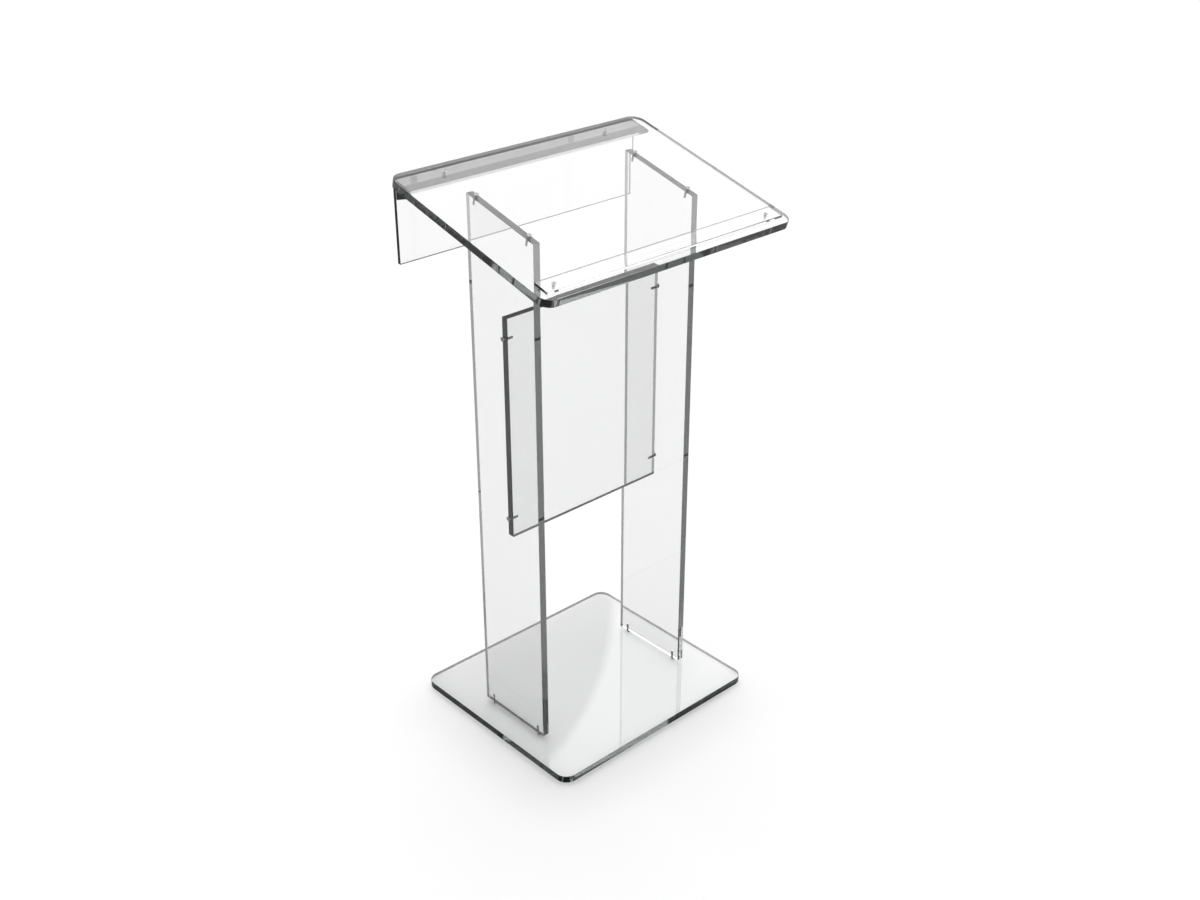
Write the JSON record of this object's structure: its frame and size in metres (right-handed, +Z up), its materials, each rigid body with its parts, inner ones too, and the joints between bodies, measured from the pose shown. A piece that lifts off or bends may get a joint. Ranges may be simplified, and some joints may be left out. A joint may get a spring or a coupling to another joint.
{
  "type": "presentation lectern",
  "caption": "Standing lectern in clear acrylic sheet: base plate, two braced side panels, sloping reading top with a page stop, and a fascia under its far edge.",
  "frame": {"origin": "on the floor, under the middle of the base plate", "axes": "+Z up; the reader stands at -Y and faces +Y, the audience side; +X is at the reader's right hand"},
  "size_m": [0.603, 0.4725, 1.1431],
  "materials": {
    "clear_acrylic": "clear, polished edges",
    "screw_steel": "plain stainless"
  },
  "bodies": {
    "root": {"base_plate": "clear_acrylic", "left_side_panel": "clear_acrylic", "right_side_panel": "clear_acrylic", "brace_panel": "clear_acrylic", "reading_top": "clear_acrylic", "page_stop": "clear_acrylic", "fascia_panel": "clear_acrylic", "fascia_block": "clear_acrylic", "base_screw_left_front": "screw_steel", "base_screw_left_back": "screw_steel", "base_screw_right_front": "screw_steel", "base_screw_right_back": "screw_steel", "brace_screw_left_upper": "screw_steel", "brace_screw_left_lower": "screw_steel", "brace_screw_right_upper": "screw_steel", "brace_screw_right_lower": "screw_steel", "top_screw_left_front": "screw_steel", "top_screw_left_back": "screw_steel", "top_screw_right_front": "screw_steel", "top_screw_right_back": "screw_steel", "block_screw_left": "screw_steel", "block_screw_right": "screw_steel", "stop_screw_left": "screw_steel", "stop_screw_right": "screw_steel"}
  },
  "joints": []
}
